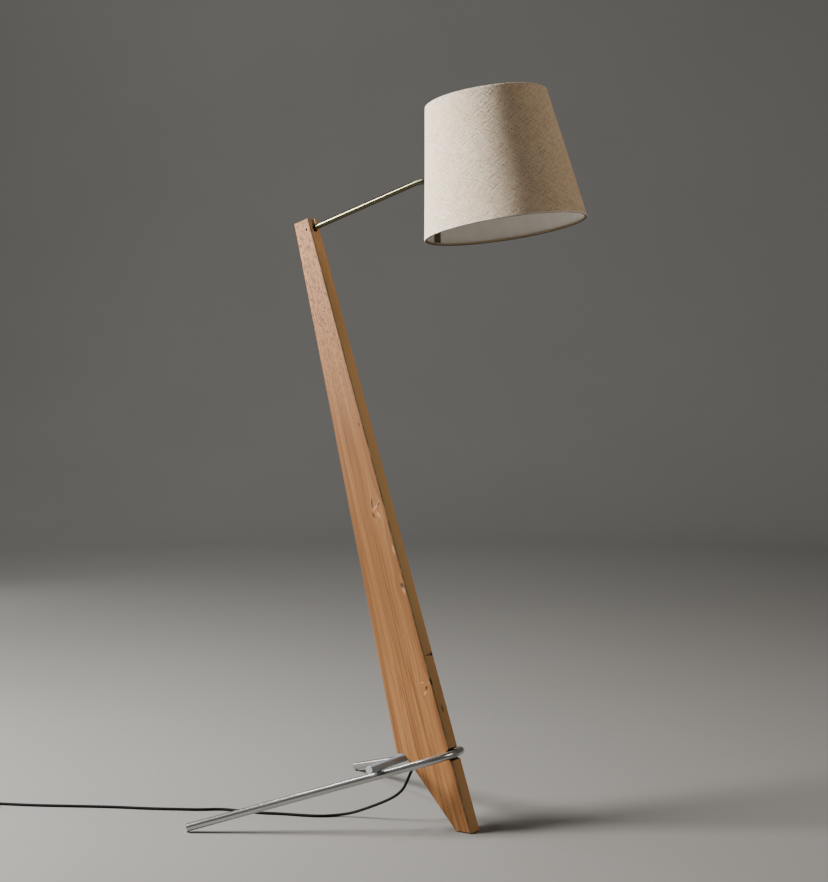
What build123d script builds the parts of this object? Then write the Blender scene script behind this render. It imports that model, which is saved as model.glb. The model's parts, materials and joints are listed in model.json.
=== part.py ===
"""Adjustable arm floor lamp: leaning timber post, bent steel rod base, brass arm and linen shade.

Frame: +Z up, +X towards the shade, floor at Z = 0, and the lamp is symmetric about Y = 0.
The origin is on the floor under the middle of the lamp's length.
"""
import os
from math import atan, cos, degrees, pi, radians, sin, tan

from build123d import *

os.makedirs("parts", exist_ok=True)

# ---- Driving dimensions, millimetres and degrees ----

toe_x = 149.5              # front edge of the toe on the floor, ahead of the origin
lean = 17.83               # the post's front edge from the vertical; the base rods lie square to it

post_thickness = 38.0
post_height = 1392.0       # top front corner above the floor
post_top_width = 41.4
rear_lean = 13.3           # the post's long rear edge from the vertical
toe_width = 39.1
taper_angle = 41.6         # the short rear edge below the crossbar, from the vertical
post_edge_radius = 1.2
toe_pad_thickness = 1.6
toe_pad_inset = 2.0
groove_width = 9.0         # cable groove in the post's rear edge
groove_depth = 9.0
groove_low = 290.0         # ends of the groove above the floor
groove_high = 1322.0
cover_thickness = 3.0

rod_radius = 9.0
rod_chamfer = 0.8
foot_reach = 551.8         # leg ends behind the toe's front edge
foot_spread = 339.7        # leg ends from the middle plane
foot_height = 10.6         # middle of the leg ends above the floor
foot_pad_thickness = 3.2
foot_pad_radius = 3.4
leg_splay = 29.0           # each leg from the middle plane, in the plane of the rods
bend_radius = 84.0         # centreline of the bend round the front of the post
crossbar_distance = 395.1  # from the leg ends, up the plane of the rods
crossbar_half_length = 159.0
seat_clearance = 0.3
notch_mouth = 31.0         # front notch, along the post's front edge
notch_depth = 11.0

arm_radius = 6.35
arm_wall = 1.5
arm_rise = 18.2            # straight part of the arm above the horizontal
arm_pivot_reach = 451.0    # the arm's pivot behind the toe's front edge
arm_pivot_height = 1365.0
arm_elbow_reach = 150.5    # elbow corner behind the toe's front edge
arm_elbow_radius = 100.0
arm_tail = 8.0             # tube beyond each hinge pin
pin_radius = 2.0
pin_drop = 2.0             # both hinge pins pass this far under the tube's centreline
pin_recess = 3.0
pin_recess_radius = 2.6
running_gap = 0.05
washer_gap = 0.05
washer_radius = 5.2
hinge_half_width = 7.3     # slot in the post, and gap between the shade's two ears
slot_back = 12.4           # slot behind the arm's pivot
plug_length = 20.0

shade_reach = 77.2         # middle of the shade's lower rim ahead of the toe's front edge
shade_height = 1350.3      # middle of the shade's lower rim above the floor
shade_tilt = 9.8           # shade axis from the vertical
shade_length = 297.0
shade_bottom_radius = 182.7
shade_top_radius = 137.8
fabric_thickness = 0.8
liner_thickness = 0.8
ring_wire_radius = 1.5
shade_pin_reach = 91.5     # shade hinge pin behind the toe's front edge, just inside the shade
wall_slot_length = 36.0
strap_width = 24.0
strap_thickness = 2.0
strap_stand_off = 1.0
plate_width = 32.0
plate_length = 66.0
ear_thickness = 2.0
bracket_height = 92.0      # lampholder bracket up the shade's axis
bracket_thickness = 2.5
bracket_width = 14.0

holder_radius = 19.5
holder_wall = 1.6
cap_top = 122.0            # heights up the shade's axis
shell_top = 152.0
insert_bottom = 111.0
nipple_radius = 5.0
socket_radius = 13.5
bulb_cap_radius = 13.2
bulb_foot = 119.5
bulb_neck = 146.0
bulb_radius = 30.0
bulb_middle = 197.5
glass_wall = 1.0
knob_height = 103.0

cord_radius = 3.25
cord_exit_height = 136.8   # above the floor, on the taper below the crossbar
cord_exit_lean = 25.0      # cord from the vertical where it leaves the post
relief_length = 22.0
arm_cable_radius = 1.5
arm_cable_rise = 2.9       # arm cable above the tube's centreline
post_cable_radius = 2.5
bore_gap = 0.3

coil_mean_radius = 36.0
coil_turn_radius = coil_mean_radius + 2 * cord_radius
coil_tail_radius = coil_mean_radius + cord_radius
plug_size = (32.0, 24.0, 14.0)

# ---- Helpers ----


def behind_toe(distance, height, side=0.0):
    """A point given by its distance behind the toe's front edge, its height and its side."""
    return Vector(toe_x - distance, side, height)


def finish(name, part):
    """Label a finished piece and write it."""
    part.label = name
    export_step(part, f"parts/{name}.step")


def slope(angle):
    """Unit vector in the middle plane, at an angle above +X."""
    return Vector(cos(radians(angle)), 0, sin(radians(angle)))


def side_plane(origin, angle=0.0):
    """Upright plane facing -Y with its x axis at an angle above +X."""
    return Plane(origin=origin, x_dir=slope(angle), z_dir=(0, -1, 0))


def facing(origin, direction):
    """Plane at a point, square to a direction, with its x axis across the lamp."""
    return Plane(origin=origin, x_dir=(0, 1, 0), z_dir=direction)


# ---- Places that follow from the dimensions ----

half_post = post_thickness / 2
lean_tan = tan(radians(lean))
taper_tan = tan(radians(taper_angle))
rear_tan = tan(radians(rear_lean))

# Plane of the rods: x up the slope towards the toe, y across, z square to the rods.
rod_plane = Plane(
    origin=behind_toe(foot_reach, foot_height),
    x_dir=slope(lean),
    z_dir=slope(lean + 90),
)
leg_meeting = foot_spread / tan(radians(leg_splay))
bend_apex_distance = leg_meeting - bend_radius / sin(radians(leg_splay)) + bend_radius
bend_apex = rod_plane.from_local_coords(Vector(bend_apex_distance, 0, 0))
crossbar_middle = rod_plane.from_local_coords(Vector(crossbar_distance, 0, 2 * rod_radius))
leg_side_at_crossbar = foot_spread - crossbar_distance * tan(radians(leg_splay))
ledge_height = crossbar_middle.Z + rod_radius

# Post outline.
top_front = behind_toe(post_height * lean_tan, post_height)
top_rear = top_front - slope(lean) * post_top_width
toe_front = behind_toe(toe_pad_thickness * lean_tan, toe_pad_thickness)
toe_rear = behind_toe(toe_width + toe_pad_thickness * taper_tan, toe_pad_thickness)
ledge_rear = top_rear + Vector((top_rear.Z - ledge_height) * rear_tan, 0, ledge_height - top_rear.Z)
ledge_front = behind_toe(toe_width + ledge_height * taper_tan, ledge_height)

# Arm: x along the straight part of the tube from the pivot, y square to it.
arm_pivot = behind_toe(arm_pivot_reach, arm_pivot_height)
arm_plane = side_plane(arm_pivot, arm_rise)
elbow_distance = (
    (arm_pivot_reach - arm_elbow_reach) / cos(radians(arm_rise)) + pin_drop * tan(radians(arm_rise))
)
arm_elbow = arm_plane.from_local_coords(Vector(elbow_distance, pin_drop, 0))
shade_pivot = behind_toe(shade_pin_reach, arm_elbow.Z - pin_drop)

# Shade: z up its axis and x away from the post, and the same frame seen from the side.
shade_origin = behind_toe(-shade_reach, shade_height)
shade_plane = Plane(origin=shade_origin, x_dir=slope(shade_tilt), z_dir=slope(shade_tilt + 90))
shade_side = side_plane(shade_origin, shade_tilt)
shade_axis = Axis(shade_origin, slope(shade_tilt + 90))
shade_slant = degrees(atan((shade_bottom_radius - shade_top_radius) / shade_length))
hinge_height = shade_plane.to_local_coords(shade_pivot).Z
skin = fabric_thickness + liner_thickness


def wall_radius(height):
    """Outer radius of the shade at a height up its axis."""
    return shade_bottom_radius - (shade_bottom_radius - shade_top_radius) * height / shade_length


# Wall frame at the hinge, on the liner's inner face: x across, y up the wall, z into the shade.
wall_rise = shade_tilt + 90 - shade_slant
wall_point = shade_side.from_local_coords(Vector(skin - wall_radius(hinge_height), hinge_height, 0))
wall_plane = Plane(origin=wall_point, x_dir=(0, 1, 0), z_dir=slope(wall_rise - 90))
pin_depth = wall_plane.to_local_coords(shade_pivot).Z
pin_rise = wall_plane.to_local_coords(shade_pivot).Y
strap_face = strap_stand_off + strap_thickness

# Cord exit on the taper.
cord_heading = Vector(-sin(radians(cord_exit_lean)), 0, -cos(radians(cord_exit_lean)))
cord_exit = behind_toe(toe_width + cord_exit_height * taper_tan, cord_exit_height)
flange_radius = 7.5
flange_thickness = 2.5
spot_radius = 8.0
spot_depth = 3.6
spot_middle = cord_exit - cord_heading * spot_depth
gland_spigot = 12.0
relief_base = spot_middle + cord_heading * flange_thickness
relief_tip = relief_base + cord_heading * relief_length

# ---- Base frame: two legs and the bend, one bent rod ----


def bent_rod(radius):
    """The base's bent rod at a given radius, as a part."""
    with BuildPart() as rod:
        with BuildLine(rod_plane) as run:
            FilletPolyline(
                (0, -foot_spread), (leg_meeting, 0), (0, foot_spread), radius=bend_radius
            )
        with BuildSketch(Plane(origin=run.line @ 0, z_dir=run.line % 0)):
            Circle(radius)
        sweep(path=run.line)
    return rod.part


foot_cut = Plane.XY.offset(foot_pad_thickness)
screw_across = [leg_side_at_crossbar, -leg_side_at_crossbar]
screw_radius = 2.5
screw_head_radius = 4.8
screw_reach = 8.0          # crossbar screws into the crossbar

with BuildPart() as base_frame:
    add(bent_rod(rod_radius))
    end_rims = base_frame.faces().filter_by(GeomType.PLANE).edges()
    chamfer(end_rims, length=rod_chamfer)
    # flats under the leg ends, for the foot pads
    split(bisect_by=foot_cut, keep=Keep.TOP)
    # countersunk holes up through the legs
    for side in screw_across:
        under_leg = Plane(
            origin=rod_plane.from_local_coords(Vector(crossbar_distance, side, -rod_radius)),
            x_dir=rod_plane.x_dir,
            z_dir=rod_plane.z_dir,
        )
        with BuildSketch(under_leg.offset(-1)):
            Circle(screw_radius)
        extrude(amount=2 * rod_radius + 2, mode=Mode.SUBTRACT)
        with BuildSketch(under_leg):
            Circle(screw_head_radius)
        with BuildSketch(under_leg.offset(3.2)):
            Circle(screw_radius)
        loft(mode=Mode.SUBTRACT)
        with BuildSketch(under_leg.offset(-2)):
            Circle(screw_head_radius)
        extrude(amount=2, mode=Mode.SUBTRACT)
finish("base_frame", base_frame.part)


def countersunk_screw(head_plane, length, radius, head_radius, head_depth):
    """Countersunk screw: head face on the plane, shank along the plane's normal."""
    side = Plane(origin=head_plane.origin, x_dir=head_plane.x_dir, z_dir=-head_plane.y_dir)
    with BuildPart(mode=Mode.PRIVATE) as screw:
        with BuildSketch(side):
            with BuildLine():
                Polyline(
                    (0, 0), (head_radius, 0), (radius, head_depth), (radius, length - radius),
                    (0, length), (0, 0),
                )
            make_face()
        revolve(axis=Axis(head_plane.origin, head_plane.z_dir))
        with BuildSketch(head_plane):
            RegularPolygon(radius=radius * 0.8, side_count=6)
        extrude(amount=head_depth * 0.7, mode=Mode.SUBTRACT)
    return screw.part


with BuildPart() as crossbar_screws:
    for side in screw_across:
        head = Plane(
            origin=rod_plane.from_local_coords(Vector(crossbar_distance, side, 0.4 - rod_radius)),
            x_dir=rod_plane.x_dir,
            z_dir=rod_plane.z_dir,
        )
        screw_length = 2 * rod_radius + screw_reach
        add(countersunk_screw(head, screw_length, screw_radius, screw_head_radius - 0.6, 2.8))
finish("crossbar_screws", crossbar_screws.part)

# ---- Crossbar: lies on both legs, under the ledge in the post ----

post_screw_across = [10.0, -10.0]
post_screw_radius = 2.0
post_screw_head = 3.8
post_screw_length = 2 * rod_radius + 24

with BuildPart() as crossbar:
    with BuildSketch(Plane(origin=crossbar_middle, x_dir=(1, 0, 0), z_dir=(0, 1, 0))):
        Circle(rod_radius)
    extrude(amount=crossbar_half_length, both=True)
    chamfer(crossbar.faces().filter_by(GeomType.PLANE).edges(), length=rod_chamfer)
    for side in screw_across:
        with BuildSketch(
            Plane(
                origin=rod_plane.from_local_coords(Vector(crossbar_distance, side, rod_radius - 1)),
                x_dir=rod_plane.x_dir,
                z_dir=rod_plane.z_dir,
            )
        ):
            Circle(screw_radius)
        extrude(amount=screw_reach + 2, mode=Mode.SUBTRACT)
    for side in post_screw_across:
        with BuildSketch(Plane(origin=crossbar_middle + Vector(0, side, -rod_radius - 1))):
            Circle(post_screw_radius)
        extrude(amount=2 * rod_radius + 2, mode=Mode.SUBTRACT)
        with BuildSketch(Plane(origin=crossbar_middle + Vector(0, side, -rod_radius))):
            Circle(post_screw_head)
        with BuildSketch(Plane(origin=crossbar_middle + Vector(0, side, 2.6 - rod_radius))):
            Circle(post_screw_radius)
        loft(mode=Mode.SUBTRACT)
finish("crossbar", crossbar.part)

with BuildPart() as post_screws:
    for side in post_screw_across:
        head = Plane(origin=crossbar_middle + Vector(0, side, 0.5 - rod_radius))
        add(countersunk_screw(head, post_screw_length, post_screw_radius, post_screw_head - 0.6, 2.1))
finish("post_screws", post_screws.part)

with BuildPart() as foot_pads:
    for side in (1, -1):
        pad_middle = behind_toe(foot_reach - 3.0, 0, side * (foot_spread - 1.6))
        with BuildSketch(Plane(origin=pad_middle)):
            Circle(foot_pad_radius)
        extrude(amount=foot_pad_thickness)
finish("foot_pads", foot_pads.part)

# ---- Post: tapered plank, with its notches, arm slot, cable groove and drillings ----

slot_floor_rear = Vector(-slot_back, -11.0)
slot_floor_front = Vector(40, -3.6)


def rear_point(height, depth):
    """Point at a height on the post's long rear edge, then a depth square into the wood."""
    on_edge = top_rear + Vector((top_rear.Z - height) * rear_tan, 0, height - top_rear.Z)
    return on_edge + slope(rear_lean) * depth


cable_depth = cover_thickness + post_cable_radius + bore_gap
slot_corner = arm_plane.from_local_coords(Vector(-slot_back + 1.0, -6.5, 0))
gland_inner = spot_middle - cord_heading * gland_spigot
cable_points = [
    slot_corner,
    rear_point(groove_high - 14, cable_depth),
    rear_point(groove_low + 16, cable_depth),
    gland_inner - cord_heading * 14,
    gland_inner,
]
cable_bends = [30.0, 60.0, 22.0]


def post_cable_run(radius):
    """The cable inside the post, or its drilling, at a given radius."""
    with BuildPart() as run_part:
        with BuildLine() as run:
            FilletPolyline(*cable_points, radius=cable_bends)
        with BuildSketch(Plane(origin=run.line @ 0, z_dir=run.line % 0)):
            Circle(radius)
        sweep(path=run.line)
    return run_part.part


with BuildPart() as post:
    with BuildSketch(Plane.XZ):
        with BuildLine():
            Polyline(
                (toe_front.X, toe_front.Z),
                (top_front.X, top_front.Z),
                (top_rear.X, top_rear.Z),
                (ledge_rear.X, ledge_rear.Z),
                (ledge_front.X, ledge_front.Z),
                (toe_rear.X, toe_rear.Z),
                close=True,
            )
        make_face()
    extrude(amount=half_post, both=True)
    long_edges = post.edges().filter_by(Axis.Y, reverse=True)
    chamfer(long_edges, length=post_edge_radius)
    # flared front notch with a seat for the bend
    with BuildSketch(side_plane(bend_apex, lean)):
        with BuildLine():
            Polyline(
                (12, notch_mouth / 2 + 5), (12, -notch_mouth / 2 - 5), (0, -notch_mouth / 2),
                (-notch_depth, -rod_radius - seat_clearance),
                (-notch_depth, rod_radius + seat_clearance), (0, notch_mouth / 2),
                close=True,
            )
        make_face()
    extrude(amount=half_post + 1, both=True, mode=Mode.SUBTRACT)
    add(bent_rod(rod_radius + seat_clearance), mode=Mode.SUBTRACT)
    # round seat for the crossbar under the ledge
    with BuildSketch(side_plane(crossbar_middle)):
        Circle(rod_radius + running_gap)
    extrude(amount=half_post + 1, both=True, mode=Mode.SUBTRACT)
    # slot for the arm, open at the top and the front
    with BuildSketch(arm_plane):
        with BuildLine():
            Polyline(
                (slot_floor_rear.X, slot_floor_rear.Y), (slot_floor_front.X, slot_floor_front.Y),
                (40, 60), (-slot_back, 60), close=True,
            )
        make_face()
    extrude(amount=hinge_half_width, both=True, mode=Mode.SUBTRACT)
    # pivot pin hole, wider where the pin's ends are sunk
    with BuildSketch(arm_plane):
        Circle(pin_radius)
    extrude(amount=half_post + 1, both=True, mode=Mode.SUBTRACT)
    for side in (1, -1):
        outside_face = arm_pivot + Vector(0, side * (half_post + 1), 0)
        with BuildSketch(Plane(origin=outside_face, z_dir=(0, -side, 0))):
            Circle(pin_recess_radius)
        extrude(amount=pin_recess + 1, mode=Mode.SUBTRACT)
    # cable groove in the rear edge and the drillings at its ends
    groove_middle = rear_point((groove_low + groove_high) / 2, 0)
    groove_length = (groove_high - groove_low) / cos(radians(rear_lean))
    with BuildSketch(Plane(origin=groove_middle, x_dir=(0, 1, 0), z_dir=slope(rear_lean))):
        Rectangle(groove_width, groove_length)
    extrude(amount=groove_depth, mode=Mode.SUBTRACT)
    add(post_cable_run(post_cable_radius + bore_gap), mode=Mode.SUBTRACT)
    # spot face and hole for the cord's gland
    with BuildSketch(facing(spot_middle, cord_heading)):
        Circle(spot_radius)
    extrude(amount=20, mode=Mode.SUBTRACT)
    with BuildSketch(facing(gland_inner, cord_heading)):
        Circle(5.0)
    extrude(amount=gland_spigot + 1, mode=Mode.SUBTRACT)
    # screw holes up from the ledge
    for side in post_screw_across:
        with BuildSketch(Plane(origin=crossbar_middle + Vector(0, side, 0))):
            Circle(post_screw_radius)
        extrude(amount=post_screw_length - rod_radius + 1, mode=Mode.SUBTRACT)
finish("post", post.part)

with BuildPart() as toe_pad:
    pad_front = toe_front.X - 0.4
    pad_rear = toe_rear.X + 1.5
    with BuildSketch(Plane(origin=((pad_front + pad_rear) / 2, 0, 0))):
        RectangleRounded(pad_front - pad_rear, post_thickness - 2 * toe_pad_inset, 2.0)
    extrude(amount=toe_pad_thickness)
finish("toe_pad", toe_pad.part)

with BuildPart() as cable_cover:
    with BuildSketch(Plane(origin=groove_middle, x_dir=(0, 1, 0), z_dir=slope(rear_lean))):
        Rectangle(groove_width, groove_length)
    extrude(amount=cover_thickness)
finish("cable_cover", cable_cover.part)

finish("post_cable", post_cable_run(post_cable_radius))

# ---- Arm pivot: pin through the post, two friction washers ----

with BuildPart() as pivot_pin:
    with BuildSketch(arm_plane):
        Circle(pin_radius)
    extrude(amount=half_post - pin_recess, both=True)
    for face in pivot_pin.faces().filter_by(Axis.Y):
        with BuildSketch(Plane(face)):
            RegularPolygon(radius=1.1, side_count=6)
        extrude(amount=-1.5, mode=Mode.SUBTRACT)
finish("pivot_pin", pivot_pin.part)


def friction_washers(centre, inner):
    """Two thin washers, one on each side of the tube at a hinge."""
    with BuildPart() as pair:
        for side in (1, -1):
            inner_face = centre + Vector(0, side * (arm_radius + washer_gap), 0)
            with BuildSketch(Plane(origin=inner_face, z_dir=(0, side, 0))):
                Circle(washer_radius)
                Circle(inner, mode=Mode.SUBTRACT)
            extrude(amount=hinge_half_width - arm_radius - washer_gap)
    return pair.part


finish("pivot_washers", friction_washers(arm_pivot, pin_radius))

# ---- Arm: bent tube, a solid plug with a cross bore in each end, and the cable ----


def arm_run(offset, start, end):
    """Points of the arm's line, offset above the tube's centreline."""
    corner_shift = offset * tan(radians(arm_rise / 2))
    start_point = arm_plane.from_local_coords(Vector(start, pin_drop + offset, 0))
    corner_point = Vector(elbow_distance - corner_shift, pin_drop + offset, 0)
    corner = arm_plane.from_local_coords(corner_point)
    end_point = shade_pivot + Vector(end, 0, pin_drop + offset)
    return [start_point, corner, end_point]


def arm_solid(radius, offset, start, end):
    """Round bar along the arm's line."""
    with BuildPart() as bar:
        with BuildLine() as run:
            FilletPolyline(*arm_run(offset, start, end), radius=arm_elbow_radius + offset)
        with BuildSketch(Plane(origin=run.line @ 0, z_dir=run.line % 0)):
            Circle(radius)
        sweep(path=run.line)
    return bar.part


shade_hinge_plane = side_plane(shade_pivot)

with BuildPart() as arm_tube:
    add(arm_solid(arm_radius, 0, -arm_tail, arm_tail))
    add(arm_solid(arm_radius - arm_wall, 0, -arm_tail - 1, arm_tail + 1), mode=Mode.SUBTRACT)
    for plane in (arm_plane, shade_hinge_plane):
        with BuildSketch(plane):
            Circle(pin_radius + running_gap)
        extrude(amount=arm_radius + 1, both=True, mode=Mode.SUBTRACT)
finish("arm_tube", arm_tube.part)


def arm_plug(hinge, inward):
    """Solid brass plug in a tube end, bored across for the pin and along for the cable."""
    tail = hinge.from_local_coords(Vector(-inward * arm_tail, pin_drop, 0))
    along = hinge.x_dir * inward
    with BuildPart() as plug:
        with BuildSketch(Plane(origin=tail, x_dir=(0, 1, 0), z_dir=along)):
            Circle(arm_radius - arm_wall - 0.02)
        extrude(amount=plug_length)
        with BuildSketch(hinge):
            Circle(pin_radius + running_gap)
        extrude(amount=arm_radius + 1, both=True, mode=Mode.SUBTRACT)
        cable_mouth = hinge.from_local_coords(
            Vector(-inward * (arm_tail + 1), pin_drop + arm_cable_rise, 0)
        )
        with BuildSketch(Plane(origin=cable_mouth, x_dir=(0, 1, 0), z_dir=along)):
            Circle(arm_cable_radius + 0.15)
        extrude(amount=plug_length + 2, mode=Mode.SUBTRACT)
    return plug.part


finish("arm_pivot_plug", arm_plug(arm_plane, 1))
finish("arm_shade_plug", arm_plug(shade_hinge_plane, -1))
finish("arm_cable", arm_solid(arm_cable_radius, arm_cable_rise, -arm_tail, arm_tail))

# ---- Shade: fabric and liner cones, two wire rings ----


def cone_shell(outer_inset, inner_inset):
    """A cone shell following the shade's wall, cut for the arm's slot."""
    with BuildPart() as shell:
        with BuildSketch(shade_side):
            with BuildLine():
                Polyline(
                    (shade_bottom_radius - outer_inset, 0),
                    (shade_top_radius - outer_inset, shade_length),
                    (shade_top_radius - inner_inset, shade_length),
                    (shade_bottom_radius - inner_inset, 0),
                    close=True,
                )
            make_face()
        revolve(axis=shade_axis)
        with BuildSketch(wall_plane.offset(-20)):
            with Locations((0, pin_rise + 1.0)):
                SlotOverall(wall_slot_length, 2 * hinge_half_width, rotation=90)
        extrude(amount=40, mode=Mode.SUBTRACT)
        with BuildSketch(wall_plane.offset(-20)):
            with Locations(*rivet_places):
                Circle(rivet_radius)
        extrude(amount=40, mode=Mode.SUBTRACT)
    return shell.part


rivet_radius = 1.5
rivet_head_radius = 3.4
rivet_places = [(x, y) for x in (-11.5, 11.5) for y in (pin_rise + 27, pin_rise - 27)]
rivet_places += [(0, height - hinge_height) for height in (22.0, 280.0)]

finish("shade_fabric", cone_shell(0, fabric_thickness))
finish("shade_liner", cone_shell(fabric_thickness, skin))


def wire_ring(height):
    """Steel wire ring just inside the liner."""
    ring_radius = wall_radius(height) - skin - ring_wire_radius - 0.25
    with BuildPart() as ring:
        with BuildSketch(shade_side):
            with Locations((ring_radius, height)):
                Circle(ring_wire_radius)
        revolve(axis=shade_axis)
    return ring.part


finish("bottom_ring", wire_ring(2.2))
finish("top_ring", wire_ring(shade_length - 2.2))

# ---- Strap down the inside of the wall, with a slotted plate and two ears for the hinge ----

strap_low = 4.6 - hinge_height
strap_high = shade_length / cos(radians(shade_slant)) - hinge_height - 5.2
ear_reach = pin_depth + 6.5
ear_plane = Plane(origin=wall_plane.origin, x_dir=wall_plane.z_dir, z_dir=(0, -1, 0))

with BuildPart() as shade_strap:
    with BuildSketch(wall_plane.offset(strap_stand_off)):
        with Locations((0, (strap_low + strap_high) / 2)):
            Rectangle(strap_width, strap_high - strap_low)
        with Locations((0, pin_rise)):
            RectangleRounded(plate_width, plate_length, 5.0)
        with Locations((0, pin_rise + 1.0)):
            SlotOverall(wall_slot_length, 2 * hinge_half_width, rotation=90, mode=Mode.SUBTRACT)
        with Locations(*rivet_places):
            Circle(rivet_radius, mode=Mode.SUBTRACT)
    extrude(amount=strap_thickness)
    for side in (1, -1):
        ear_middle = side * (hinge_half_width + ear_thickness / 2)
        with BuildSketch(ear_plane.offset(-ear_middle)):
            with Locations((pin_depth, pin_rise)):
                Circle(6.5)
            with Locations(((strap_stand_off + 0.5 + pin_depth) / 2, pin_rise)):
                Rectangle(pin_depth - strap_stand_off - 0.5, 13.0)
            with Locations((pin_depth, pin_rise)):
                Circle(pin_radius, mode=Mode.SUBTRACT)
        extrude(amount=ear_thickness / 2, both=True)
    # holes for the bracket's screws
    with BuildSketch(wall_plane.offset(strap_stand_off - 1)):
        with Locations(*[(0, bracket_height - hinge_height - d) for d in (9.0, 21.0)]):
            Circle(1.5)
    extrude(amount=strap_thickness + 2, mode=Mode.SUBTRACT)
finish("shade_strap", shade_strap.part)

with BuildPart() as strap_rivets:
    for x, y in rivet_places:
        sag = x * x / (2 * wall_radius(hinge_height))
        outside = -skin - 0.3 + (sag if x else 0.0)
        with BuildSketch(wall_plane.offset(outside)):
            with Locations((x, y)):
                Circle(rivet_radius)
        extrude(amount=strap_face - outside)
        with BuildSketch(wall_plane.offset(outside)):
            with Locations((x, y)):
                Circle(rivet_head_radius)
        extrude(amount=-1.0, taper=30)
        with BuildSketch(wall_plane.offset(strap_face)):
            with Locations((x, y)):
                Circle(2.6)
        extrude(amount=0.9, taper=30)
finish("strap_rivets", strap_rivets.part)

# ---- Shade hinge: bolt, lock nut and friction washers ----

ear_outer = hinge_half_width + ear_thickness

with BuildPart() as tilt_bolt:
    with BuildSketch(shade_hinge_plane):
        Circle(pin_radius)
    extrude(amount=ear_outer + 4.5, both=True)
    with BuildSketch(shade_hinge_plane.offset(ear_outer)):
        Circle(3.6)
    extrude(amount=2.6)
    with BuildSketch(shade_hinge_plane.offset(ear_outer + 2.6)):
        Circle(5.0)
    extrude(amount=4.0, mode=Mode.SUBTRACT)
    with BuildSketch(shade_hinge_plane.offset(ear_outer + 2.6)):
        RegularPolygon(radius=1.4, side_count=6)
    extrude(amount=-1.6, mode=Mode.SUBTRACT)
finish("tilt_bolt", tilt_bolt.part)

with BuildPart() as tilt_nut:
    with BuildSketch(shade_hinge_plane.offset(-ear_outer)):
        RegularPolygon(radius=4.0, side_count=6)
        Circle(pin_radius, mode=Mode.SUBTRACT)
    extrude(amount=-3.6)
finish("tilt_nut", tilt_nut.part)

finish("tilt_washers", friction_washers(shade_pivot, pin_radius))

# ---- Lampholder bracket, from the strap to the shade's axis ----

bracket_foot = 27.0
foot_top = bracket_height - hinge_height + bracket_thickness

with BuildPart() as holder_bracket:
    with BuildSketch(wall_plane.offset(strap_face)):
        with Locations((0, foot_top - bracket_foot / 2)):
            Rectangle(bracket_width, bracket_foot)
        with Locations(*[(0, bracket_height - hinge_height - d) for d in (9.0, 21.0)]):
            Circle(1.5, mode=Mode.SUBTRACT)
    extrude(amount=bracket_thickness)
    bar_start = wall_radius(bracket_height) - skin - strap_face - 1.0
    with BuildSketch(shade_plane.offset(bracket_height)):
        with Locations((-bar_start / 2, 0)):
            Rectangle(bar_start, bracket_width)
        Circle(13.0)
        Circle(nipple_radius, mode=Mode.SUBTRACT)
    extrude(amount=bracket_thickness)
finish("holder_bracket", holder_bracket.part)

with BuildPart() as bracket_screws:
    for drop in (9.0, 21.0):
        place = (0, bracket_height - hinge_height - drop)
        with BuildSketch(wall_plane.offset(strap_stand_off)):
            with Locations(place):
                Circle(1.5)
        extrude(amount=strap_thickness + bracket_thickness)
        with BuildSketch(wall_plane.offset(strap_face + bracket_thickness)):
            with Locations(place):
                Circle(2.8)
        extrude(amount=1.8, taper=15)
finish("bracket_screws", bracket_screws.part)

# ---- Lampholder ----


def ring_section(points):
    """Turned piece about the shade's axis from a closed radius and height outline."""
    with BuildPart() as turned:
        with BuildSketch(shade_side):
            with BuildLine():
                Polyline(*points, close=True)
            make_face()
        revolve(axis=shade_axis)
    return turned.part


plate_top = bracket_height + bracket_thickness

finish("holder_nipple", ring_section([
    (3.4, bracket_height - 6), (nipple_radius, bracket_height - 6),
    (nipple_radius, plate_top + 3.0), (3.4, plate_top + 3.0),
]))

with BuildPart() as holder_nut:
    with BuildSketch(shade_plane.offset(bracket_height - 3.2)):
        RegularPolygon(radius=8.6, side_count=6)
        Circle(nipple_radius, mode=Mode.SUBTRACT)
    extrude(amount=3.2)
finish("holder_nut", holder_nut.part)

knob_start = holder_radius + 8.0
knob_plane = Plane(
    origin=shade_plane.from_local_coords(Vector(0, 0, knob_height)),
    x_dir=shade_plane.x_dir,
    z_dir=(0, -1, 0),
)

with BuildPart() as holder_cap:
    add(ring_section([
        (nipple_radius, plate_top), (holder_radius - 3, plate_top), (holder_radius, plate_top + 3),
        (holder_radius, cap_top), (holder_radius - holder_wall, cap_top),
        (holder_radius - holder_wall, plate_top + 3), (nipple_radius, plate_top + 3),
    ]))
    with BuildSketch(knob_plane):
        Circle(2.0 + running_gap)
    extrude(amount=holder_radius + 2, mode=Mode.SUBTRACT)
    cable_entry = shade_side.from_local_coords(Vector(-holder_radius - 1, knob_height - 0.5, 0))
    with BuildSketch(Plane(origin=cable_entry, x_dir=(0, 1, 0), z_dir=shade_plane.x_dir)):
        Circle(arm_cable_radius + bore_gap)
    extrude(amount=5.0, mode=Mode.SUBTRACT)
finish("holder_cap", holder_cap.part)

finish("holder_shell", ring_section([
    (holder_radius, cap_top), (holder_radius, shell_top - 2), (holder_radius - 2, shell_top),
    (socket_radius + 1.2, shell_top), (socket_radius + 1.2, shell_top - holder_wall),
    (holder_radius - holder_wall, shell_top - holder_wall), (holder_radius - holder_wall, cap_top),
]))

finish("holder_insert", ring_section([
    (0, insert_bottom), (holder_radius - holder_wall - 0.2, insert_bottom),
    (holder_radius - holder_wall - 0.2, shell_top - holder_wall - 0.2),
    (socket_radius, shell_top - holder_wall - 0.2), (socket_radius, bulb_foot - 2.0),
    (0, bulb_foot - 2.0),
]))

finish("socket_contact", ring_section([
    (0, bulb_foot - 2.0), (4.5, bulb_foot - 2.0), (3.0, bulb_foot), (0, bulb_foot),
]))

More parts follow.
